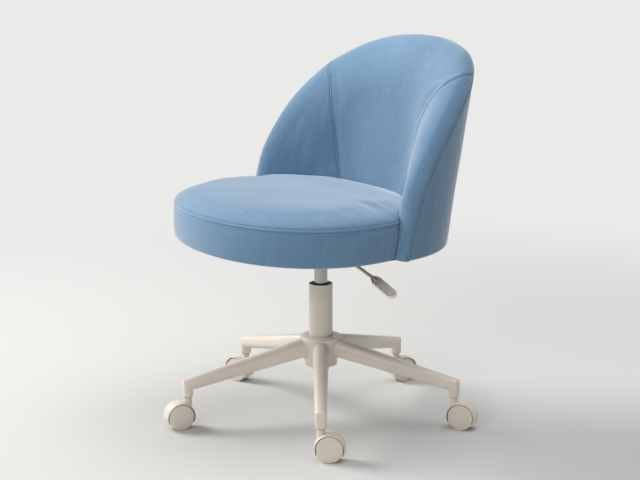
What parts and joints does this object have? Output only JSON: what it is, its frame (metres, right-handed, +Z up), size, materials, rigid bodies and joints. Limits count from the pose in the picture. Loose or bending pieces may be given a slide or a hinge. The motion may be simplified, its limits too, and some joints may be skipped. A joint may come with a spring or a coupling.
{
  "type": "swivel office chair",
  "caption": "Upholstered tub chair with a curved wrap-round back, on a height-adjustable gas lift and a star base with twin-wheel castors",
  "frame": {"origin": "on the floor, on the axis of the gas lift", "axes": "+Z up along the gas lift, the sitter faces -Y, +X to the sitter's left, where the lever is"},
  "size_m": [0.6351, 0.6523, 0.7948],
  "materials": {
    "base_paint": "satin warm beige powder coat",
    "mechanism_paint": "black paint on pressed steel",
    "plated_steel": "zinc plated",
    "lift_chrome": "polished chrome plating",
    "dark_nylon": "dark moulded nylon",
    "castor_nylon": "semi-gloss cream nylon",
    "stop_rubber": "black rubber",
    "plywood": "raw birch plywood",
    "foam": "open-cell cushion foam",
    "velvet": "pale steel-blue velvet with a soft sheen",
    "dust_cloth": "black non-woven cloth",
    "frame_shell": "black moulded shell"
  },
  "bodies": {
    "base": {"base_hub": "base_paint", "base_arm_1": "base_paint", "base_arm_2": "base_paint", "base_arm_3": "base_paint", "base_arm_4": "base_paint", "base_arm_5": "base_paint", "stem_sleeves": "plated_steel", "column_tube": "base_paint", "guide_bush": "dark_nylon", "lower_race": "plated_steel"},
    "lift": {"piston_rod": "lift_chrome", "ball_cage": "plated_steel", "upper_race": "plated_steel", "bump_stop": "stop_rubber", "rod_clip": "plated_steel"},
    "seat": {"pressure_tube": "lift_chrome", "rod_guide": "dark_nylon", "taper_socket": "plated_steel", "mechanism_plate": "mechanism_paint", "lever_pin": "plated_steel", "seat_board": "plywood", "tee_nuts": "plated_steel", "frame_bolts": "plated_steel", "seat_foam": "foam", "seat_cover": "velvet", "dust_cover": "dust_cloth", "back_frame": "frame_shell", "back_pad": "foam", "back_outer_pad": "foam", "back_inner_cover": "velvet", "back_outer_cover": "velvet"},
    "lever": {"lever_rod": "base_paint", "lever_paddle": "base_paint"},
    "release": {"release_pin": "plated_steel"},
    "castor_1": {"castor_1_hood": "castor_nylon", "castor_1_stem": "plated_steel", "castor_1_axle": "plated_steel"},
    "castor_1_near": {"castor_1_wheel_near": "castor_nylon"},
    "castor_1_far": {"castor_1_wheel_far": "castor_nylon"},
    "castor_2": {"castor_2_hood": "castor_nylon", "castor_2_stem": "plated_steel", "castor_2_axle": "plated_steel"},
    "castor_2_near": {"castor_2_wheel_near": "castor_nylon"},
    "castor_2_far": {"castor_2_wheel_far": "castor_nylon"},
    "castor_3": {"castor_3_hood": "castor_nylon", "castor_3_stem": "plated_steel", "castor_3_axle": "plated_steel"},
    "castor_3_near": {"castor_3_wheel_near": "castor_nylon"},
    "castor_3_far": {"castor_3_wheel_far": "castor_nylon"},
    "castor_4": {"castor_4_hood": "castor_nylon", "castor_4_stem": "plated_steel", "castor_4_axle": "plated_steel"},
    "castor_4_near": {"castor_4_wheel_near": "castor_nylon"},
    "castor_4_far": {"castor_4_wheel_far": "castor_nylon"},
    "castor_5": {"castor_5_hood": "castor_nylon", "castor_5_stem": "plated_steel", "castor_5_axle": "plated_steel"},
    "castor_5_near": {"castor_5_wheel_near": "castor_nylon"},
    "castor_5_far": {"castor_5_wheel_far": "castor_nylon"}
  },
  "joints": [
    {"name": "swivel", "type": "hinge", "parent": "base", "child": "lift", "pos_m": [0, 0, 0], "axis": [0, 0, 1], "continuous": true},
    {"name": "seat_height", "type": "slide", "parent": "lift", "child": "seat", "axis": [0, 0, 1], "range_m": [-0.038, 0.052]},
    {"name": "lever_lift", "type": "hinge", "parent": "seat", "child": "lever", "pos_m": [0.031, 0, 0.372], "axis": [0, -1, 0], "range_deg": [0, 6.5], "stiffness_Nm_per_rad": 2, "springref_deg": -8.59},
    {"name": "release_press", "type": "slide", "parent": "seat", "child": "release", "axis": [0, 0, -1], "range_m": [0, 0.0045]},
    {"name": "castor_1_swivel", "type": "hinge", "parent": "base", "child": "castor_1", "pos_m": [0.24211, -0.15964, 0.05], "axis": [0, 0, 1], "continuous": true},
    {"name": "castor_1_near_roll", "type": "hinge", "parent": "castor_1", "child": "castor_1_near", "pos_m": [0.25329, -0.14553, 0.027], "axis": [-0.7837, 0.6211, 0], "continuous": true},
    {"name": "castor_1_far_roll", "type": "hinge", "parent": "castor_1", "child": "castor_1_far", "pos_m": [0.25329, -0.14553, 0.027], "axis": [-0.7837, 0.6211, 0], "continuous": true},
    {"name": "castor_2_swivel", "type": "hinge", "parent": "base", "child": "castor_2", "pos_m": [0.22664, 0.18093, 0.05], "axis": [0, 0, 1], "continuous": true},
    {"name": "castor_2_near_roll", "type": "hinge", "parent": "castor_2", "child": "castor_2_near", "pos_m": [0.24128, 0.1914, 0.027], "axis": [-0.5821, 0.8131, 0], "continuous": true},
    {"name": "castor_2_far_roll", "type": "hinge", "parent": "castor_2", "child": "castor_2_far", "pos_m": [0.24128, 0.1914, 0.027], "axis": [-0.5821, 0.8131, 0], "continuous": true},
    {"name": "castor_3_swivel", "type": "hinge", "parent": "base", "child": "castor_3", "pos_m": [-0.10203, 0.27146, 0.05], "axis": [0, 0, 1], "continuous": true},
    {"name": "castor_3_near_roll", "type": "hinge", "parent": "castor_3", "child": "castor_3_near", "pos_m": [-0.10034, 0.28938, 0.027], "axis": [-0.9956, 0.0941, 0], "continuous": true},
    {"name": "castor_3_far_roll", "type": "hinge", "parent": "castor_3", "child": "castor_3_far", "pos_m": [-0.10034, 0.28938, 0.027], "axis": [-0.9956, 0.0941, 0], "continuous": true},
    {"name": "castor_4_swivel", "type": "hinge", "parent": "base", "child": "castor_4", "pos_m": [-0.2897, -0.01316, 0.05], "axis": [0, 0, 1], "continuous": true},
    {"name": "castor_4_near_roll", "type": "hinge", "parent": "castor_4", "child": "castor_4_near", "pos_m": [-0.30644, -0.01978, 0.027], "axis": [0.3681, -0.9298, 0], "continuous": true},
    {"name": "castor_4_far_roll", "type": "hinge", "parent": "castor_4", "child": "castor_4_far", "pos_m": [-0.30644, -0.01978, 0.027], "axis": [0.3681, -0.9298, 0], "continuous": true},
    {"name": "castor_5_swivel", "type": "hinge", "parent": "base", "child": "castor_5", "pos_m": [-0.07701, -0.27959, 0.05], "axis": [0, 0, 1], "continuous": true},
    {"name": "castor_5_near_roll", "type": "hinge", "parent": "castor_5", "child": "castor_5_near", "pos_m": [-0.08057, -0.29723, 0.027], "axis": [0.9803, -0.1977, 0], "continuous": true},
    {"name": "castor_5_far_roll", "type": "hinge", "parent": "castor_5", "child": "castor_5_far", "pos_m": [-0.08057, -0.29723, 0.027], "axis": [0.9803, -0.1977, 0], "continuous": true}
  ],
  "couplings": [
    {"joint": "release_press", "follows": "lever_lift", "m_per_rad": 0.0345}
  ]
}
